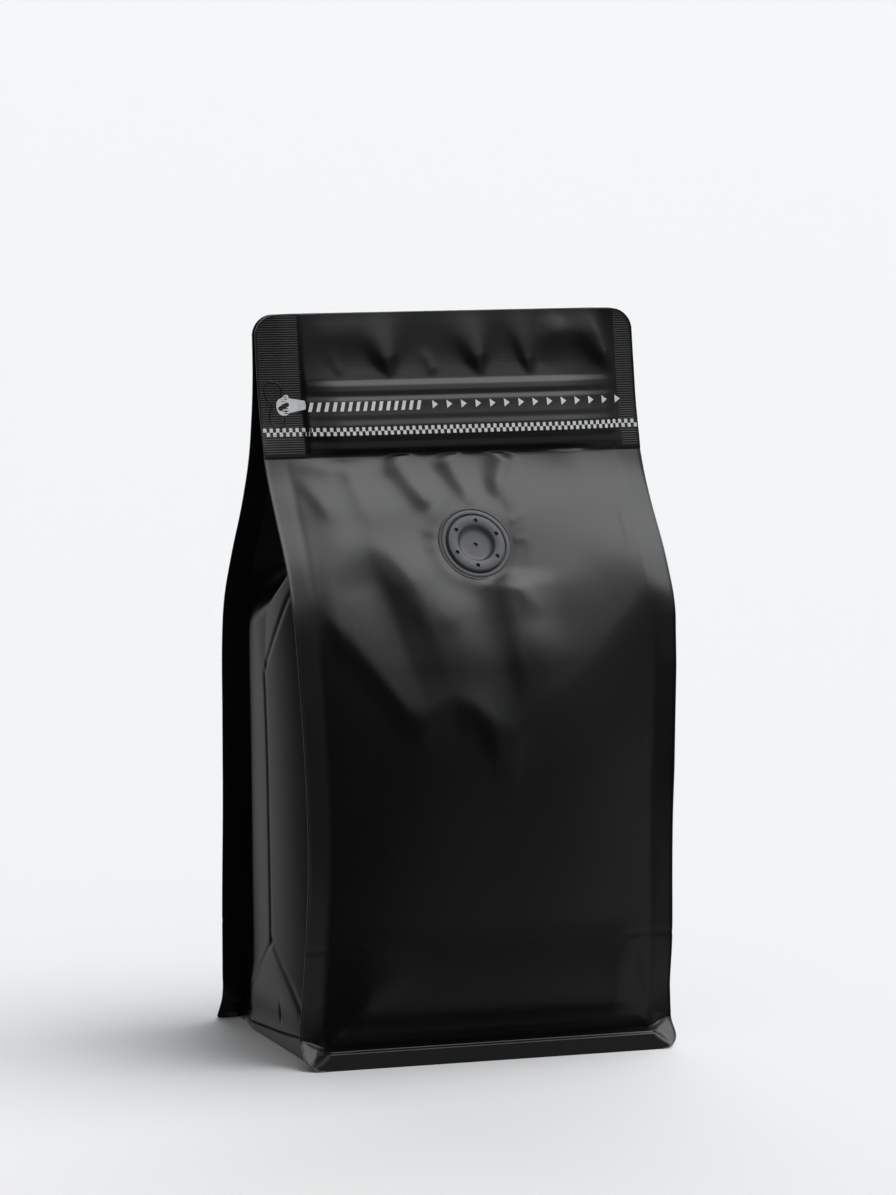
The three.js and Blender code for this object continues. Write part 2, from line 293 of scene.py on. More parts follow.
def shoulderBreak(x, z):
    # relief that peaks along the shoulder line: a slow fall above it, a quick one below
    away = z - shoulderEdge(x)
    above = np.exp((2.0 - np.sqrt(away**2 + 4.0)) / shoulder["fallAbove"])
    height = shoulder["height"] + shoulder["rightMore"] * ridgeShape(x - 15, 12)
    height = height + shoulder["leftMore"] * (1 - smooth((x + 20) / 25))
    height = height + shoulder["middleMore"] * ridgeShape(x + 2, 9)
    below = ridgeShape(away, shoulder["fallBelow"] + shoulder["fallBelowRight"] * smooth((x + 8) / 12))
    return height * np.where(away > 0, above, below) * smooth((57.0 - np.abs(x)) / 7)


# The sealed corner strips. A twist has the height where it starts and how far it takes to
# come, where it ends and how far it takes to go, and its slope on the left and right strip.
fins = {
    "twists": [
        (12, 10, 50, 35, 0.16, -0.10),
        (7, 9, 18, 18, 0.0, -0.16),
        (75, 20, 125, 15, 0.0, 0.12),
        (140, 16, 176, 18, -0.10, -0.20),
        (194, 12, 250, 10, -0.12, 0.0),
    ],
    "bendAt": 150.0,          # they bend where the shoulder begins
    "bendLeft": 0.6,
    "bendRight": 1.0,
    "flareAt": 8.6,           # and flare just over the skirt
    "flare": 0.8,
}


def finTurn(x, z):
    left, right = np.maximum(-x - 56.5, 0), np.maximum(x - 56.5, 0)
    twist = 0.0
    for start, come, end, go, leftSlope, rightSlope in fins["twists"]:
        share = smooth((z - start) / come) * (1 - smooth((z - end) / go))
        twist = twist + share * (left * leftSlope + right * rightSlope)
    bend = ridgeShape(z - fins["bendAt"], 8) * np.where(x > 0, fins["bendRight"], fins["bendLeft"])
    bend = bend * smooth((np.abs(x) - 50.0) / 10)
    flare = fins["flare"] * ridgeShape(z - fins["flareAt"], 2.2) * smooth((np.abs(x) - 57.0) / 3)
    return twist + bend - flare


skirt = {
    "top": 5.4,               # height of the sealed strip at the foot
    "lean": 0.26,             # outwards for each mm of height
    "turnIn": 0.9,            # of its upper edge
    "fan": 58.0,              # half width between the flared corners
    "fanSlope": 1.1,
    "swell": 3.4,             # of the belly right above it
    "hollow": 0.6,            # of the groove between the two
}


def footSwell(x, z):
    # above the skirt's ledge the film comes out quickly into the belly
    swell = skirt["swell"] * smooth((z - 3.5) / 16) * (1 - smooth((z - 20) / 26))
    hollow = skirt["hollow"] * ridgeShape(z - 6.5, 3.0)
    return swell * smooth((56.0 - np.abs(x)) / 14) - hollow * smooth((57.0 - np.abs(x)) / 5)


def skirtReach(x, z, column):
    # the sealed strip at the foot stands nearly upright and turns in at its top;
    # its corners flare out in a fan
    upright = along(column, z) - along(column, 0.0)
    lean = skirt["lean"] * z * (1 if column == 2 else -1)
    fromTop = z - skirt["top"]
    strip = np.abs(upright - lean) - skirt["turnIn"] * smooth((fromTop + 0.4) / 0.8)
    edge = 1 - smooth((fromTop - 0.4) / 0.3)
    between = smooth((skirt["fan"] + skirt["fanSlope"] * (0.4 - fromTop) - np.abs(x)) / 3.0)
    above = smooth((57.5 + 2.1 * np.maximum(fromTop - 0.4, 0) - np.abs(x)) / 2.0)
    flat = np.abs(along(column, 16.0) - along(column, np.minimum(z, 16.0)))
    return strip * edge * between + (footSwell(x, z) - flat * above) * (1 - edge)


# the valve's place on the front panel

valve = {
    "height": 166.1,
    "tilt": math.radians(29),
    "turn": math.radians(3),
    "radius": 12.5,
    "wellDepth": 1.7,         # the film is sunk under the cap, out of sight
    "seatBlend": 9.5,         # width of the ring over which the film leaves the seat
    "proud": 0.2,
    "beadRadius": 12.35,
    "beadWidth": 0.5,
    "beadFlatness": 0.3,
    "beadSunk": 0.07,
    "holeCircle": 7.9,
    "holeCount": 6,
    "holeRadius": 0.72,
    "holeDepth": 1.6,
    "holeMiddle": 0.9,        # height halfway down a hole
    "holeTurn": math.radians(22),
    "centreHoleRadius": 0.8,
    "centreHoleDepth": 2.4,
}


def bellyReach(x, z, column):
    across = np.clip(np.abs(x) / rootWidth(z), 0, 1)
    return along(column, z) * (1 - across ** bag["bellyPower"])


seatY = float(along(2, valve["height"]) - along(4, valve["height"]))
seatY -= valve["proud"] / math.cos(valve["tilt"])

creases = {
    "frontHeight": 38.2,      # where the flat bag was doubled over
    "backHeight": 33.0,
    "depth": 0.10,
    "finDepth": 0.30,         # added to it beside the fins
    "width": 0.55,
    "sealDepth": 0.10,
    "sealDepthHigh": 0.08,    # added to it above the belly
    "lip": 0.28,
}


def crossCrease(x, z, height):
    # the fold where the flat bag was doubled over, sharpest beside the fins
    depth = creases["depth"] + creases["finDepth"] * smooth((np.abs(x) - 42) / 8)
    return depth * ridgeShape(z - height - 0.6 * np.sin(x / 17.0), creases["width"])


def sealLine(x, z):
    # edge of the sealed strip along each fin
    fromRoot = np.abs(x) - rootWidth(z) - 0.6
    depth = creases["sealDepth"] + creases["sealDepthHigh"] * smooth((z - 145) / 10)
    return depth * ridgeShape(fromRoot, creases["width"]) * smooth((z - 12) / 10) * smooth((193 - z) / 4)


def cutLip(x, z, skirtCorner):
    # the film's cut edge stands up a little
    return creases["lip"] * ridgeShape(halfWidth(z, skirtCorner) - np.abs(x) - 0.15, 0.35)


def frontSkin(x, z):
    # y of the front panel's outer face
    free = along(2, z) - bellyReach(x, z, 4) - shoulderBreak(x, z) - skirtReach(x, z, 2) - finTurn(x, z)
    rise = z - valve["height"]
    away = np.hypot(x, rise / math.cos(valve["tilt"])) - valve["radius"]
    seat = seatY + rise * math.tan(valve["tilt"]) + x * math.tan(valve["turn"])
    held = 1 - smooth((away + 2.5) / valve["seatBlend"])
    well = valve["wellDepth"] * (1 - smooth((away + 3.0) / 2.2))
    toHeader = header["forward"] * smooth((z - 185.0) / 9.0)
    panel = free + (seat - free) * held + well - toHeader
    below = 1 - smooth((z - 193.4) / 1.2)
    folds = foldRelief(x, z, frontFolds) * betweenFins(x, z) * below * smooth((away + 0.4) / 2.4)
    puckers = foldRelief(x, z, headerFolds) * smooth((x + 50.5) / 2) * smooth((58.5 - x) / 2)
    sunk = crossCrease(x, z, creases["frontHeight"]) + sealLine(x, z)
    return panel - folds - puckers - zipRelief(x, z) + sunk - cutLip(x, z, bag["skirtCornerFront"])


def backSkin(x, z):
    # y of the back panel's outer face
    free = along(3, z) + bellyReach(x, z, 5) + skirtReach(x, z, 3)
    folds = foldRelief(x, z, backFolds) * betweenFins(x, z) * (1 - smooth((z - 188.0) / 6))
    ribs = header["backRibs"] * np.maximum(zipProfile(z), 0) + header["backTop"] * smooth((z - 221) / 14)
    sunk = crossCrease(x, z, creases["backHeight"]) + sealLine(x, z)
    return free + folds + ribs * smooth((57 - np.abs(x)) / 6) - sunk


gusset = {
    "bulgeLow": 4.4,
    "bulgeHigh": 6.2,
    "halfFilm": 46.5,         # half of the gusset's own width, laid flat
    "creaseEnd": 124.0,       # the centre crease stops here and two diagonals climb from it
    "creaseRise": 46.0,
    "creaseDepth": 0.38,
    "backDiagonal": 0.12,     # depth of the one behind against the one in front
    "facetSlope": 0.05,
    "shoulderBack": 134.0,    # above this line the film folds inwards to the header
    "shoulderRise": 44.0,
    "shoulderLength": 26.0,
    "rollHeight": 1.6,        # of the soft roll along that line
    "backTurn": 1.6,          # how far the film turns in beside the back fin
    "closeStart": 197.0,
    "closeEnd": 215.0,
    "tuckHeight": 20.0,       # the foot of the gusset curves under below this
    "tuck": 1.9,
    "lowPoint": 34.0,         # where the two low creases of the base fold meet
    "lowCreases": [(-42.0, 8.0, 0.42), (30.0, 10.0, 0.26)],     # their far ends y, z and depth
    "tickDepth": 0.35,
    "bandDepth": 0.25,        # of the sealed band at the foot
    "columns": 124,
    "top": 236.0,             # it ends inside the header, out of sight
}


def gussetCreases(v, z, across, diagonal):
    # v runs from -1 at the front fin to 1 at the back one, across is the same in mm
    g = gusset
    below = smooth((z - g["lowPoint"] + 3) / 4) * smooth((g["creaseEnd"] + 1 - z) / 3)
    depth = g["creaseDepth"] * ridgeShape(across - 1.0, 1.2) * below
    climbing = smooth((z - g["creaseEnd"] + 2) / 3) * smooth((158 - z) / 8)
    side = np.where(v < 0, 1.0, g["backDiagonal"])
    depth = depth + g["creaseDepth"] * side * ridgeShape((z - diagonal - 1.0) * 0.62, 1.0) * climbing
    for endY, endZ, lowDepth in g["lowCreases"]:
        t = across / endY
        line = g["lowPoint"] + (endZ - g["lowPoint"]) * np.clip(t, 0, 1)
        on = smooth(t * 12 + 0.5) * smooth((1.05 - t) / 0.1)
        depth = depth + lowDepth * ridgeShape((z - line) * 0.85, 0.9) * on
    depth = depth + g["tickDepth"] * ridgeShape(across + 9.0, 0.9) * ridgeShape(z - 11.5, 3.0)
    band = g["bandDepth"] * (1 - smooth((z - 4.0 + 3.5 * v) / 1.2)) * (1 - np.abs(v) ** 12)
    return depth + band


def gussetReach(v, z):
    # outward x of a side gusset
    g = gusset
    edge = np.abs(v)
    bulge = g["bulgeLow"] + (g["bulgeHigh"] - g["bulgeLow"]) * smooth((z - 20) / 60)
    squareness = 2.1 + 6.4 * (1 - smooth(z / 24))
    spread = bulge * (1 - edge**squareness) * (1 - smooth((z - 146) / 30))
    diagonal = g["creaseEnd"] + edge * g["creaseRise"]
    facet = g["facetSlope"] * np.maximum(0, z - diagonal) * (1 - edge**8)
    gap = (along(3, z) - along(2, z)) / 2 - 0.9
    depth = np.sqrt(np.maximum(g["halfFilm"] ** 2 - gap**2, 0))
    closing = 1 - smooth((z - g["closeStart"]) / (g["closeEnd"] - g["closeStart"]))
    shoulderHeight = g["shoulderBack"] + g["shoulderRise"] * ((1 - v) / 2) ** 2.2
    folded = smooth((z - shoulderHeight) / g["shoulderLength"])
    reach = rootWidth(z) + spread - facet * (1 - folded) - depth * (1 - edge) * closing * folded
    roll = g["rollHeight"] * ridgeShape((z - 138 - 42 * (1 - v)) * 0.7, 5.0)
    roll = roll * folded * smooth((1 - edge) * 8)
    turn = g["backTurn"] * smooth((v - 0.5) / 0.32) * smooth((1 - v) / 0.18) * (1 - folded)
    tuck = g["tuck"] * np.clip(1 - z / g["tuckHeight"], 0, 1) ** 2 * (1 - edge**8)
    return reach + roll - turn - tuck - gussetCreases(v, z, v * gap, diagonal) * (1 - edge**10)


# meshes


def levels():
    # heights of the film's rows, closest together at the skirt's ledge and in the header
    bands = [
        (0.0, 4.8, 0.3), (4.8, 6.3, 0.1), (6.3, 9.0, 0.3), (9.0, 191.0, 0.95), (191.0, bag["height"], 0.2),
    ]
    return np.append(np.concatenate([np.arange(*band) for band in bands]), bag["height"])


def linked(name, data):
    piece = bpy.data.objects.new(name, data)
    bpy.context.scene.collection.objects.link(piece)
    return piece


def smoothShaded(mesh, sharpOver=None):
    mesh.polygons.foreach_set("use_smooth", np.ones(len(mesh.polygons), bool))
    if sharpOver:
        mesh.set_sharp_from_angle(angle=math.radians(sharpOver))


def gridMesh(name, grid, material):
    rows, columns = grid.shape[:2]
    i = np.arange(rows * columns).reshape(rows, columns)
    quads = np.stack([i[:-1, :-1], i[:-1, 1:], i[1:, 1:], i[1:, :-1]], -1).reshape(-1, 4)
    mesh = bpy.data.meshes.new(name)
    mesh.from_pydata((grid.reshape(-1, 3) * mm).tolist(), [], quads.tolist())
    smoothShaded(mesh, 50)
    mesh.materials.append(material)
    return linked(name, mesh)


def filmSheet(name, skin, skirtCorner, side, material):
    # one wide film: its outer face, its cut edges and the backs of its fins;
    # side is -1 for the front film and 1 for the back one
    z = levels()[:, None]
    half, root = halfWidth(z, skirtCorner), rootWidth(z)
    thick = bag["filmThickness"]
    fin = np.linspace(0, 1, bag["finColumns"])[None, :] ** 1.7          # closer at the cut edge
    leftFin = -half + 0.06 + (half - 0.06 - root) * fin
    panel = -root + 2 * root * np.linspace(0, 1, bag["panelColumns"])[None, 1:-1]
    face = np.concatenate([leftFin, panel, -leftFin[:, ::-1]], 1)
    backs = np.concatenate([-root, -(root + half) / 2, -half + 0.06], 1)
    edge = np.concatenate([-half + 0.01, -half, -half, -half + 0.01], 1)
    x = np.concatenate([backs, edge, face, -edge[:, ::-1], -backs[:, ::-1]], 1)
    depth = np.concatenate([[1, 1, 1, 0.99, 0.94, 0.06, 0.01], np.zeros(face.shape[1])])
    depth = np.concatenate([depth, [0.01, 0.06, 0.94, 0.99, 1, 1, 1]])[None, :] * thick
    x = x * -side
    zz = np.broadcast_to(z, x.shape)
    y = skin(x, zz) - side * depth
    grid = np.stack([x, y, zz], -1)
    turned = grid[[0, -1]].copy()          # the film's lower and upper cut edges
    turned[:, :, 1] -= side * thick
    grid = np.concatenate([turned[:1], grid, turned[1:]])
    return gridMesh(name, grid, material)


def gussetSheet(name, side, material):
    z = levels()
    z = z[z < gusset["top"]][:, None]
    v = np.linspace(-1, 1, gusset["columns"])[None, :]
    if side < 0:
        v = v[:, ::-1]
    root = rootWidth(z)
    thick = bag["filmThickness"]
    front, back = frontSkin(root, z) + thick, backSkin(root, z) - thick
    y = front + (back - front) * (v + 1) / 2
    x = side * gussetReach(v, np.broadcast_to(z, y.shape))
    return gridMesh(name, np.stack([x, y, np.broadcast_to(z, y.shape)], -1), material)


underside = {
    "halfWidth": 55.8,
    "inset": 0.3,             # from the front and back films
    "edgeHeight": 0.25,
    "crown": 0.9,             # it rises off the ground towards its middle
    "crownEdge": 8.0,
    "columns": 60,
    "rows": 48,
}


def basePanel(material):
    u = underside
    x = np.linspace(-1, 1, u["columns"])[None, :] * u["halfWidth"]
    y = np.linspace(1, 0, u["rows"])[:, None]
    front, back = float(along(2, 0.0)) + u["inset"], float(along(3, 0.0)) - u["inset"]
    x, y = np.broadcast_arrays(x * (1 + 0.01 * np.sin(y * math.pi)), front + (back - front) * y)
    inner = smooth((56.0 - np.abs(x)) / u["crownEdge"])
    inner = inner * smooth((y - front - 3) / u["crownEdge"]) * smooth((back - 3 - y) / u["crownEdge"])
    return gridMesh("basePanel", np.stack([x, y, u["edgeHeight"] + u["crown"] * inner], -1), material)


# materials


def newMaterial(name):
    material = bpy.data.materials.new(name)
    material.use_nodes = True
    nodes = material.node_tree.nodes
    return material, nodes, material.node_tree.links, nodes["Principled BSDF"]


def objectNoise(nodes, links, scale, detail=2.0):
    # noise in the piece's own coordinates
    coords = nodes.new("ShaderNodeTexCoord")
    noise = nodes.new("ShaderNodeTexNoise")
    noise.inputs["Scale"].default_value = scale
    noise.inputs["Detail"].default_value = detail
    links.new(coords.outputs["Object"], noise.inputs["Vector"])
    return noise.outputs["Fac"]


def noisyColour(nodes, links, noise, dark, light, shader):
    tint = nodes.new("ShaderNodeMix")
    tint.data_type = "RGBA"
    tint.inputs["A"].default_value = (*dark, 1)
    tint.inputs["B"].default_value = (*light, 1)
    links.new(noise, tint.inputs["Factor"])
    links.new(tint.outputs["Result"], shader.inputs["Base Color"])


def blackPlastic(name, finish):
    # cloudy tone and gloss, and a fine matte grain
    material, nodes, links, shader = newMaterial(name)
    cloud = objectNoise(nodes, links, 28.0, 4.0)
    noisyColour(nodes, links, cloud, finish["dark"], finish["light"], shader)
    gloss = nodes.new("ShaderNodeMapRange")
    gloss.inputs["To Min"].default_value = finish["roughness"] - 0.035
    gloss.inputs["To Max"].default_value = finish["roughness"] + 0.035
    links.new(cloud, gloss.inputs["Value"])
    links.new(gloss.outputs["Result"], shader.inputs["Roughness"])
    bump = nodes.new("ShaderNodeBump")
    bump.inputs["Strength"].default_value = finish["grain"]
    bump.inputs["Distance"].default_value = 0.0001
    links.new(objectNoise(nodes, links, 2600.0), bump.inputs["Height"])
    links.new(bump.outputs["Normal"], shader.inputs["Normal"])
    return material


def greyInk(name, ink):
    material, nodes, links, shader = newMaterial(name)
    noisyColour(nodes, links, objectNoise(nodes, links, 900.0), ink["dark"], ink["light"], shader)
    shader.inputs["Roughness"].default_value = ink["roughness"]
    return material


filmBlack = blackPlastic("filmBlack", {
    "dark": (0.0030, 0.0032, 0.0037), "light": (0.0038, 0.0040, 0.0046), "roughness": 0.33, "grain": 0.25,
})
valveBlack = blackPlastic("valveBlack", {
    "dark": (0.046, 0.047, 0.050), "light": (0.056, 0.057, 0.060), "roughness": 0.37, "grain": 0.30,
})
printInk = greyInk("printInk", {"dark": (0.50, 0.50, 0.51), "light": (0.70, 0.70, 0.71), "roughness": 0.5})

# film pieces

frontFilm = filmSheet("frontFilm", frontSkin, bag["skirtCornerFront"], -1, filmBlack)
backFilm = filmSheet("backFilm", backSkin, bag["skirtCornerBack"], 1, filmBlack)
gussetLeft = gussetSheet("gussetLeft", -1, filmBlack)
gussetRight = gussetSheet("gussetRight", 1, filmBlack)
filmPieces = [frontFilm, backFilm, gussetLeft, gussetRight, basePanel(filmBlack)]
print("film sheets made:", sum(len(p.data.polygons) for p in filmPieces), "faces")

# Geometry Nodes helpers


class Tree:
    # a Geometry Nodes tree with named inputs, built node by node
    def __init__(self, name, **inputs):
        self.group = bpy.data.node_groups.new(name, "GeometryNodeTree")
        face = self.group.interface
        face.new_socket("Geometry", in_out="INPUT", socket_type="NodeSocketGeometry")
        face.new_socket("Geometry", in_out="OUTPUT", socket_type="NodeSocketGeometry")
        for label, kind in inputs.items():
            face.new_socket(label, in_out="INPUT", socket_type="NodeSocket" + kind)
        self.inputs = self.group.nodes.new("NodeGroupInput").outputs
        self.output = self.group.nodes.new("NodeGroupOutput").inputs["Geometry"]

    def add(self, kind, settings=None, **sockets):
        # a node with its settings; each socket, by name or as _number, gets a value or
        # another node's output
        node = self.group.nodes.new(kind)
        for key, value in (settings or {}).items():
            setattr(node, key, value)
        for key, value in sockets.items():
            slot = node.inputs[int(key[1:])] if key[0] == "_" else node.inputs[key.replace("_", " ")]
            if isinstance(value, bpy.types.NodeSocket):
                self.group.links.new(value, slot)
            else:
                slot.default_value = value
        return node.outputs

    def math(self, operation, a, b=0.0):
        return self.add("ShaderNodeMath", {"operation": operation}, _0=a, _1=b)["Value"]

    def vector(self, x=0.0, y=0.0, z=0.0):
        return self.add("ShaderNodeCombineXYZ", X=x, Y=y, Z=z)["Vector"]

    def join(self, *parts):
        node = self.group.nodes.new("GeometryNodeJoinGeometry")
        for part in parts:
            self.group.links.new(part, node.inputs["Geometry"])
        return node.outputs["Geometry"]

    def circle(self, radius, resolution):
        return self.add("GeometryNodeCurvePrimitiveCircle", {"mode": "RADIUS"}, Resolution=resolution,
                        Radius=radius)["Curve"]

    def tube(self, curve, radius, sides, capped=True):
        return self.add("GeometryNodeCurveToMesh", Curve=curve, Profile_Curve=self.circle(radius, sides),
                        Fill_Caps=capped)["Mesh"]

    def transformed(self, geometry, **how):
        return self.add("GeometryNodeTransform", Geometry=geometry, **how)["Geometry"]

    def repeated(self, geometry, **line):
        points = self.add("GeometryNodeMeshLine", {"mode": "OFFSET"}, **line)["Mesh"]
        return self.add("GeometryNodeInstanceOnPoints", Points=points, Instance=geometry)["Instances"]

    def finish(self, geometry, material):
        real = self.add("GeometryNodeRealizeInstances", Geometry=geometry)["Geometry"]
        done = self.add("GeometryNodeSetMaterial", Geometry=real, Material=material)["Geometry"]
        self.group.links.new(done, self.output)


def grow(name, tree, values, mesh=None):
    # the plain mesh that a tree gives with these values
    piece = linked(name, mesh or bpy.data.meshes.new(name))
    nodes = piece.modifiers.new(name, "NODES")
    nodes.node_group = tree.group
    for item in tree.group.interface.items_tree:
        if item.item_type == "SOCKET" and item.in_out == "INPUT" and item.name in values:
            nodes[item.identifier] = values[item.name]
    bpy.context.view_layer.update()
    made = piece.evaluated_get(bpy.context.evaluated_depsgraph_get())
    piece.data = bpy.data.meshes.new_from_object(made)
    piece.data.name = name
    piece.modifiers.clear()
    return piece


def raisedPlate(tree, outline, thickness):
    # a closed plate standing up in XZ, its face towards -Y, from a closed curve in XY
    flat = tree.add("GeometryNodeFillCurve", Curve=outline)["Mesh"]
    top = tree.add("GeometryNodeExtrudeMesh", Mesh=flat, Offset_Scale=thickness, Individual=False)["Mesh"]
    under = tree.add("GeometryNodeFlipFaces", Mesh=flat)["Mesh"]
    whole = tree.add("GeometryNodeMergeByDistance", Geometry=tree.join(top, under), Distance=0.000002)
    return tree.transformed(whole["Geometry"], Rotation=(math.pi / 2, 0, 0))


def laidOnFilm(tree, geometry, film, side, relief=1.0):
    # drops geometry drawn flat in XZ onto a film: its own y, times relief, becomes its
    # height over the film. What lies beside the film is taken away.
    real = tree.add("GeometryNodeRealizeInstances", Geometry=geometry)["Geometry"]
    target = tree.add("GeometryNodeObjectInfo", Object=film)["Geometry"]
    place = tree.add("ShaderNodeSeparateXYZ", Vector=tree.add("GeometryNodeInputPosition")["Position"])
    start = tree.vector(place["X"], 0.3 * side, place["Z"])
    hit = tree.add("GeometryNodeRaycast", Target_Geometry=target, Source_Position=start,
                   Ray_Direction=(0, -side, 0), Ray_Length=1.0)
    filmY = tree.add("ShaderNodeSeparateXYZ", Vector=hit["Hit Position"])["Y"]
    lifted = tree.math("ADD", filmY, tree.math("MULTIPLY", place["Y"], relief))
    there = tree.vector(place["X"], lifted, place["Z"])
    missed = tree.add("FunctionNodeBooleanMath", {"operation": "NOT"}, _0=hit["Is Hit"])["Boolean"]
    moved = tree.add("GeometryNodeSetPosition", Geometry=real, Position=there)["Geometry"]
    return tree.add("GeometryNodeDeleteGeometry", {"domain": "POINT"}, Geometry=moved,
                    Selection=missed)["Geometry"]


# valve


def valvePlacement():
    across = Vector((1, math.tan(valve["turn"]), 0)).normalized()
    outward = Vector((math.tan(valve["turn"]), -1, math.tan(valve["tilt"]))).normalized()
    up = outward.cross(across)
    turn = Matrix((across, up, outward)).transposed().to_4x4()
    return Matrix.Translation(Vector((0, seatY, valve["height"])) * mm) @ turn


def meshFrom(body, name):
    mesh = bpy.data.meshes.new(name)
    body.to_mesh(mesh)
    body.free()
    return mesh


def spun(name, profile, sides):
    # a closed turned body about its own Z, from a profile of radius and height in mm
    body = bmesh.new()
    rings = []
    for radius, height in profile:
        angles = [2 * math.pi * k / sides for k in range(sides if radius else 1)]
        rings.append([body.verts.new((radius * mm * math.cos(a), radius * mm * math.sin(a), height * mm))
                      for a in angles])
    for low, high in zip(rings, rings[1:]):
        for k in range(sides):
            n = (k + 1) % sides
            corners = [low[k % len(low)], low[n % len(low)], high[n % len(high)], high[k % len(high)]]
            body.faces.new(list(dict.fromkeys(corners)))
    bmesh.ops.recalc_face_normals(body, faces=body.faces)
    return meshFrom(body, name)


def ventTree():
    # a ring of round vents and one in the middle, cut out of the cap
    tree = Tree("vents", **{"Vents": "Int", "Ring Radius": "Float", "Vent Radius": "Float",
                            "Centre Radius": "Float", "Turn": "Float", "Material": "Material"})
    given = tree.inputs
    ring = tree.add("GeometryNodeMeshCircle", Vertices=given["Vents"], Radius=given["Ring Radius"])["Mesh"]
    ring = tree.transformed(ring, Rotation=tree.vector(z=given["Turn"]))
    drill = tree.add("GeometryNodeMeshCylinder", Vertices=20, Radius=given["Vent Radius"],
                     Depth=valve["holeDepth"] * mm)["Mesh"]
    drill = tree.transformed(drill, Translation=(0, 0, valve["holeMiddle"] * mm))
    vents = tree.add("GeometryNodeInstanceOnPoints", Points=ring, Instance=drill)["Instances"]
    middle = tree.add("GeometryNodeMeshCylinder", Vertices=24, Radius=given["Centre Radius"],
                      Depth=valve["centreHoleDepth"] * mm)["Mesh"]
    drills = tree.add("GeometryNodeRealizeInstances", Geometry=tree.join(vents, middle))["Geometry"]
    cut = tree.add("GeometryNodeMeshBoolean", {"operation": "DIFFERENCE", "solver": "EXACT"},
                   Mesh_1=given["Geometry"], Mesh_2=drills)["Mesh"]
    tree.finish(cut, given["Material"])
    return tree


def valveCap():
    # radius and height from the middle of its back, round the flange and the groove, over
    # the raised ring and down into the dish
    profile = [
        (0, -1.4), (9.0, -1.4), (9.4, -0.5), (11.5, -0.5), (11.9, -0.3), (11.93, -0.05), (11.8, 0.06),
        (11.2, 0.14), (10.6, 0.16), (10.42, 0.08), (10.32, -0.3), (10.08, -0.36), (9.95, -0.1), (9.82, 0.6),
        (9.62, 0.88), (9.2, 0.96), (7.9, 0.95), (6.7, 0.9), (6.3, 0.78), (6.0, 0.4), (5.75, -0.05),
        (5.4, -0.3), (5.0, -0.42), (4.2, -0.48), (2.5, -0.52), (1.3, -0.5), (0, -0.5),
    ]
    cap = grow("valveCap", ventTree(), {
        "Vents": valve["holeCount"], "Ring Radius": valve["holeCircle"] * mm,
        "Vent Radius": valve["holeRadius"] * mm, "Centre Radius": valve["centreHoleRadius"] * mm,
        "Turn": valve["holeTurn"], "Material": valveBlack,
    }, spun("valveBlank", profile, 120))
    cap.data.transform(valvePlacement())
    smoothShaded(cap.data, 40)
    return cap


def beadTree():
    # a low rounded bead of film around the cap
    tree = Tree("capBead", **{"Radius": "Float", "Half Width": "Float", "Flatness": "Float",
                              "Material": "Material"})
    given = tree.inputs
    ring = tree.tube(tree.circle(given["Radius"], 96), given["Half Width"], 16, False)
    flat = tree.transformed(ring, Scale=tree.vector(1.0, 1.0, given["Flatness"]))
    tree.finish(flat, given["Material"])
    return tree


cap = valveCap()
bead = grow("capBead", beadTree(), {
    "Radius": valve["beadRadius"] * mm, "Half Width": valve["beadWidth"] * mm,
    "Flatness": valve["beadFlatness"], "Material": filmBlack,
})
bead.data.transform(valvePlacement() @ Matrix.Translation((0, 0, -valve["beadSunk"] * mm)))
smoothShaded(bead.data)
print("valve made")

# print and embossing on the header

zipPrint = {
    "inkHeight": 0.05,
    "toothCorner": 0.15,                  # rounding, as a share of the width
    "toothWidth": 1.1,
    "toothHeight": 1.3,
    "toothPitch": 2.147,
    "teethUpper": (-63.8, 202.6, 60),     # first x, z, how many
    "teethLower": (-62.75, 201.3, 60),
    "barWidth": 1.15,
    "barHeight": 2.9,
    "barSlant": 0.9,
    "barPitch": 2.6,
    "hatchBars": (-48.2, 209.8, 15),
    "arrowWidth": 1.9,
    "arrowHeight": 2.6,
    "arrowPitch": 4.97,
    "arrows": (-6.5, 209.9, 14),
}


def inkOutline(tree, shape):
    given = tree.inputs
    if shape == "tooth":
        plain = tree.add("GeometryNodeCurvePrimitiveQuadrilateral", {"mode": "RECTANGLE"},
                         Width=given["Width"], Height=given["Height"])["Curve"]
        corner = tree.math("MULTIPLY", given["Width"], zipPrint["toothCorner"])
        return tree.add("GeometryNodeFilletCurve", {"mode": "POLY"}, Curve=plain, Count=2, Radius=corner,
                        Limit_Radius=True)["Curve"]
    if shape == "bar":
        return tree.add("GeometryNodeCurvePrimitiveQuadrilateral", {"mode": "PARALLELOGRAM"},
                        Width=given["Width"], Height=given["Height"], Offset=given["Slant"])["Curve"]
    # an arrow: a circle of three points, 1.5 by 1.73 mm before it is stretched
    long = tree.math("DIVIDE", given["Width"], 0.0015)
    high = tree.math("DIVIDE", given["Height"], 0.00173)
    return tree.transformed(tree.circle(0.001, 3), Scale=tree.vector(long, high, 1.0))


def rowTree(name, shape):
    # one raised ink shape repeated along the zip and laid on the film
    tree = Tree(name, **{"Start": "Vector", "Count": "Int", "Pitch": "Float", "Width": "Float",
                         "Height": "Float", "Slant": "Float", "Ink Height": "Float",
                         "Film": "Object", "Material": "Material"})
    given = tree.inputs
    plate = raisedPlate(tree, inkOutline(tree, shape), given["Ink Height"])
    row = tree.repeated(plate, Count=given["Count"], Start_Location=given["Start"],
                        Offset=tree.vector(x=given["Pitch"]))
    tree.finish(laidOnFilm(tree, row, given["Film"], -1), given["Material"])
    return tree


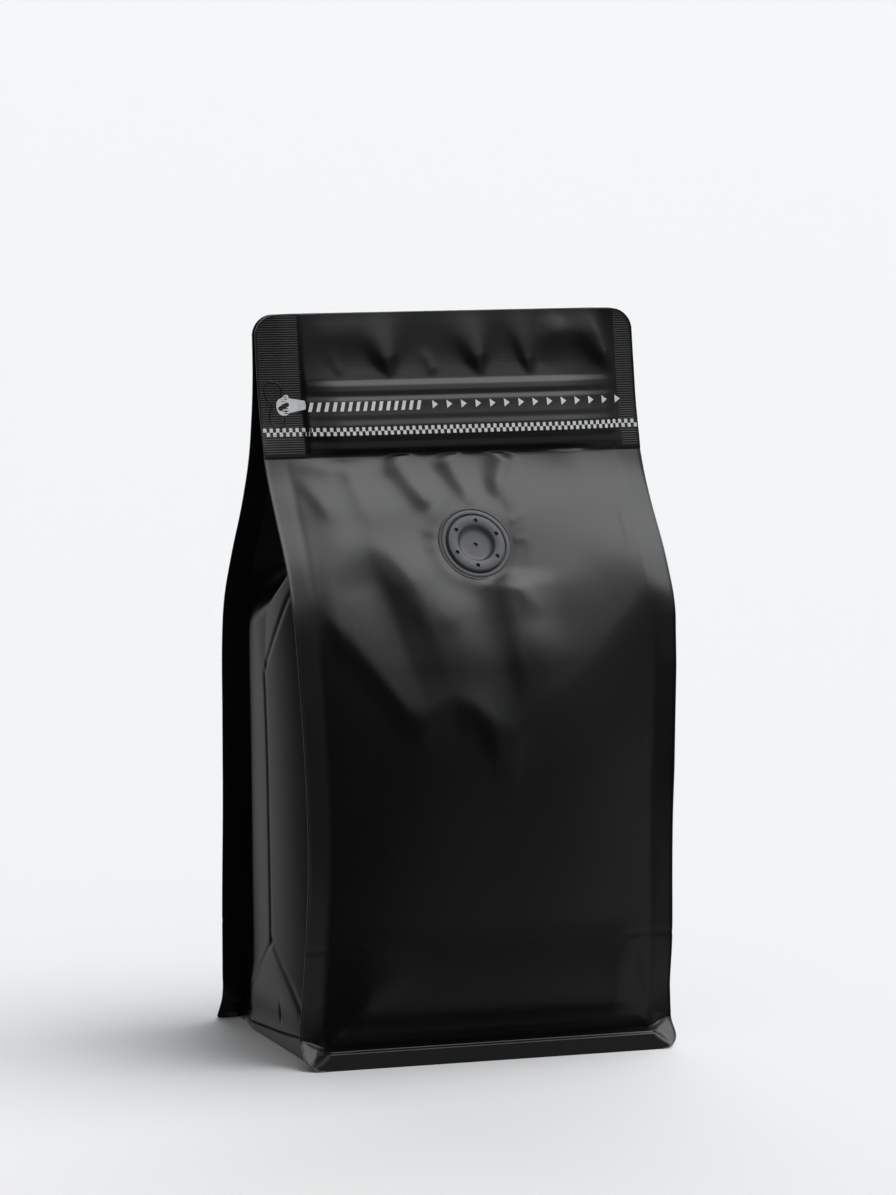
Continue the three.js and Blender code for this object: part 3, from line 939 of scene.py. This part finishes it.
def printedRow(name, tree, kind, slant=0.0):
    x, z, count = zipPrint[name]
    return grow(name, tree, {
        "Start": (x * mm, 0, z * mm), "Count": count, "Pitch": zipPrint[kind + "Pitch"] * mm,
        "Width": zipPrint[kind + "Width"] * mm, "Height": zipPrint[kind + "Height"] * mm,
        "Slant": slant * mm, "Ink Height": zipPrint["inkHeight"] * mm,
        "Film": frontFilm, "Material": printInk,
    })


toothTree = rowTree("printedTeeth", "tooth")
teethUpper = printedRow("teethUpper", toothTree, "tooth")
teethLower = printedRow("teethLower", toothTree, "tooth")
hatchBars = printedRow("hatchBars", rowTree("hatchBars", "bar"), "bar", zipPrint["barSlant"])
arrows = printedRow("arrows", rowTree("printedArrows", "arrow"), "arrow")

# the slider drawn at the zip's left end: a round head with a slot, and a tapering pull
slider = {
    "outline": [
        (-49.9, 209.1), (-49.7, 210.4), (-49.9, 211.9), (-51.8, 212.2), (-55.1, 212.8), (-55.2, 213.6),
        (-55.8, 213.9), (-56.6, 213.7), (-57.2, 213.0), (-58.4, 212.5), (-59.1, 211.6), (-59.3, 210.3),
        (-59.1, 208.9), (-58.4, 207.7), (-57.3, 207.2), (-56.0, 207.4), (-55.0, 208.1), (-52.8, 208.5),
    ],
    "slotFrom": (-58.0, 209.5),
    "slotTo": (-55.8, 210.7),
    "slotRadius": 0.75,
}


def sliderIcon():
    # outline and slot bridged into one plate, then laid on the film
    (x0, z0), (x1, z1) = slider["slotFrom"], slider["slotTo"]
    run = math.atan2(z1 - z0, x1 - x0)
    slot = []
    for k in range(16):
        turn = run + math.pi / 2 + math.pi * (k + 0.5) / 8
        x, z = (x0, z0) if k < 8 else (x1, z1)
        slot.append((x + slider["slotRadius"] * math.cos(turn), z + slider["slotRadius"] * math.sin(turn)))
    body = bmesh.new()
    for loop in (slider["outline"], slot):
        ring = [body.verts.new((x * mm, -zipPrint["inkHeight"] * mm, z * mm)) for x, z in loop]
        for a, b in zip(ring, ring[1:] + ring[:1]):
            body.edges.new((a, b))
    bmesh.ops.triangle_fill(body, edges=body.edges, use_beauty=True, normal=(0, -1, 0))
    under = bmesh.ops.extrude_face_region(body, geom=body.faces[:])["geom"]
    for v in under:
        if isinstance(v, bmesh.types.BMVert):
            v.co.y = 0.0
    bmesh.ops.recalc_face_normals(body, faces=body.faces)
    tree = Tree("layDown", Film="Object", Material="Material")
    tree.finish(laidOnFilm(tree, tree.inputs["Geometry"], tree.inputs["Film"], -1), tree.inputs["Material"])
    return grow("sliderIcon", tree, {"Film": frontFilm, "Material": printInk}, meshFrom(body, "sliderIcon"))


icon = sliderIcon()

# embossing: crimp ribs at both ends of the header, and the rim of the tear-off tab

crimp = {
    "pitch": 0.75,
    "height": 0.05,
    "wireRadius": 0.2,
    "low": 195.2,
    "count": 59,
    "left": (-64.3, -51.0),   # both ends of a rib
    "right": (58.6, 64.3),
}


def crimpTree(side):
    tree = Tree("crimpRibs", **{"From": "Vector", "To": "Vector", "Count": "Int", "Pitch": "Float",
                                "Wire Radius": "Float", "Relief": "Float", "Film": "Object",
                                "Material": "Material"})
    given = tree.inputs
    rib = tree.add("GeometryNodeCurvePrimitiveLine", Start=given["From"], End=given["To"])["Curve"]
    rib = tree.add("GeometryNodeResampleCurve", Curve=rib, Count=14)["Curve"]
    rod = tree.tube(rib, given["Wire Radius"], 6)
    rods = tree.repeated(rod, Count=given["Count"], Offset=tree.vector(z=given["Pitch"]))
    tree.finish(laidOnFilm(tree, rods, given["Film"], side, given["Relief"]), given["Material"])
    return tree


def crimpRibs(name, film, side, ends):
    return grow(name, crimpTree(side), {
        "From": (ends[0] * mm, 0, crimp["low"] * mm), "To": (ends[1] * mm, 0, crimp["low"] * mm),
        "Count": crimp["count"], "Pitch": crimp["pitch"] * mm, "Wire Radius": crimp["wireRadius"] * mm,
        "Relief": crimp["height"] / crimp["wireRadius"], "Film": film, "Material": filmBlack,
    })


embossed = [
    crimpRibs("crimpFrontLeft", frontFilm, -1, crimp["left"]),
    crimpRibs("crimpFrontRight", frontFilm, -1, crimp["right"]),
    crimpRibs("crimpBackLeft", backFilm, 1, crimp["left"]),
    crimpRibs("crimpBackRight", backFilm, 1, crimp["right"]),
]

tearTab = {
    "path": [
        (-57.7, 213.4), (-57.4, 215.4), (-58.1, 217.2), (-59.8, 218.0), (-61.7, 217.8), (-62.8, 216.5),
        (-62.9, 214.6), (-62.2, 212.9), (-61.1, 211.6), (-60.7, 210.4), (-61.1, 209.2), (-61.7, 207.6),
        (-61.6, 205.6), (-60.6, 204.2), (-58.9, 203.6), (-57.4, 204.2), (-56.8, 205.6), (-57.0, 207.3),
    ],
    "rimRadius": 0.22,
    "rimHeight": 0.16,
}


def tearTabTree():
    tree = Tree("tearTabRim", **{"Rim Radius": "Float", "Relief": "Float", "Film": "Object",
                                 "Material": "Material"})
    given = tree.inputs
    path = tree.add("GeometryNodeMeshToCurve", Mesh=given["Geometry"])["Curve"]
    path = tree.add("GeometryNodeCurveSplineType", {"spline_type": "CATMULL_ROM"}, Curve=path)["Curve"]
    path = tree.add("GeometryNodeResampleCurve", Curve=path, Count=110)["Curve"]
    rim = tree.tube(path, given["Rim Radius"], 8)
    tree.finish(laidOnFilm(tree, rim, given["Film"], -1, given["Relief"]), given["Material"])
    return tree


def tearTabRim():
    path = bpy.data.meshes.new("tabPath")
    corners = [(x * mm, 0, z * mm) for x, z in tearTab["path"]]
    path.from_pydata(corners, [(k, k + 1) for k in range(len(corners) - 1)], [])
    return grow("tearTabRim", tearTabTree(), {
        "Rim Radius": tearTab["rimRadius"] * mm, "Relief": tearTab["rimHeight"] / tearTab["rimRadius"],
        "Film": frontFilm, "Material": filmBlack,
    }, path)


embossed += [tearTabRim(), bead]
printed = [teethUpper, teethLower, hatchBars, arrows, icon]
print("print and embossing made:", sum(len(p.data.polygons) for p in printed + embossed), "faces")

for piece in filmPieces:
    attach(piece, "root")
    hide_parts("pouch")
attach(cap, "root")
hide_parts("valve")
for piece in embossed:
    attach(piece, "root")
for piece in printed:
    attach(piece, "root")

# studio

studio = {
    "floorSize": 400.0,
    "floorColour": (0.81, 0.81, 0.81),
    "floorRoughness": 0.75,
    "lampColour": (0.975, 0.985, 1.0),
    "dimColour": (0.9, 0.95, 1.0),
    "dimStrength": 0.025,
    "backdropColour": (0.62, 0.63, 0.64),
}


def paleFloor():
    half = studio["floorSize"] / 2
    mesh = bpy.data.meshes.new("floor")
    corners = [(-half, -half, 0), (half, -half, 0), (half, half, 0), (-half, half, 0)]
    mesh.from_pydata(corners, [], [(0, 1, 2, 3)])
    material, _, _, shader = newMaterial("paleFloor")
    shader.inputs["Base Color"].default_value = (*studio["floorColour"], 1)
    shader.inputs["Roughness"].default_value = studio["floorRoughness"]
    mesh.materials.append(material)
    floor = linked("floor", mesh)
    floor.visible_glossy = False      # the film mirrors the studio and not the floor,
    floor.visible_shadow = False      # and the soft light from below reaches it
    return floor


floor = paleFloor()


def softSun(name, heading, elevation, spread, strength):
    # heading is turned clockwise from straight behind the bag, seen from above
    light = bpy.data.lights.new(name, "SUN")
    light.energy = strength
    light.color = studio["lampColour"]
    light.angle = math.radians(spread)
    lamp = linked(name, light)
    h, e = math.radians(heading), math.radians(elevation)
    towards = Vector((math.sin(h) * math.cos(e), math.cos(h) * math.cos(e), math.sin(e)))
    lamp.rotation_mode = "QUATERNION"
    lamp.rotation_quaternion = towards.to_track_quat("Z", "Y")


# name, heading, elevation, how wide the source looks, strength
for lampValues in [
    ("keyRight", 100, 58, 60, 2.55),
    ("topFront", 180, 60, 60, 0.6),
    ("lowFront", 150, 22, 50, 0.10),
    ("underFront", 160, -30, 40, 0.05),
    ("underRight", 120, -25, 50, 0.17),
    ("stripLeft", 345, 0, 30, 0.09),
    ("topLeft", 290, 55, 70, 0.15),
    ("backFill", 20, 20, 60, 1.4),
]:
    softSun(*lampValues)

world = bpy.data.worlds.new("studio")
bpy.context.scene.world = world
world.use_nodes = True
skyNodes, skyLinks = world.node_tree.nodes, world.node_tree.links
dim = skyNodes["Background"]
dim.inputs["Color"].default_value = (*studio["dimColour"], 1)
dim.inputs["Strength"].default_value = studio["dimStrength"]
pale = skyNodes.new("ShaderNodeBackground")           # only the camera sees this one
pale.inputs["Color"].default_value = (*studio["backdropColour"], 1)
rays = skyNodes.new("ShaderNodeLightPath")
both = skyNodes.new("ShaderNodeMixShader")
skyLinks.new(rays.outputs["Is Camera Ray"], both.inputs["Fac"])
skyLinks.new(dim.outputs["Background"], both.inputs[1])
skyLinks.new(pale.outputs["Background"], both.inputs[2])
skyLinks.new(both.outputs["Shader"], skyNodes["World Output"].inputs["Surface"])
bpy.context.scene.view_settings.view_transform = "Standard"

# camera

shot = {
    "aim": Vector((0.00076, 0.0, 0.14537)),
    "yaw": math.radians(19.04),
    "pitch": math.radians(6.57),
    "distance": 1.7654,
    "lens": 161.6,
    "sensorWidth": 36,
}
camera = linked("camera", bpy.data.cameras.new("camera"))
camera.data.lens = shot["lens"]
camera.data.sensor_width = shot["sensorWidth"]
camera.data.clip_start, camera.data.clip_end = 0.05, 500
ahead = Vector((
    math.sin(shot["yaw"]) * math.cos(shot["pitch"]),
    math.cos(shot["yaw"]) * math.cos(shot["pitch"]),
    -math.sin(shot["pitch"]),
))
camera.location = shot["aim"] - ahead * shot["distance"]
camera.rotation_mode = "QUATERNION"
camera.rotation_quaternion = ahead.to_track_quat("-Z", "Y")
bpy.context.scene.camera = camera
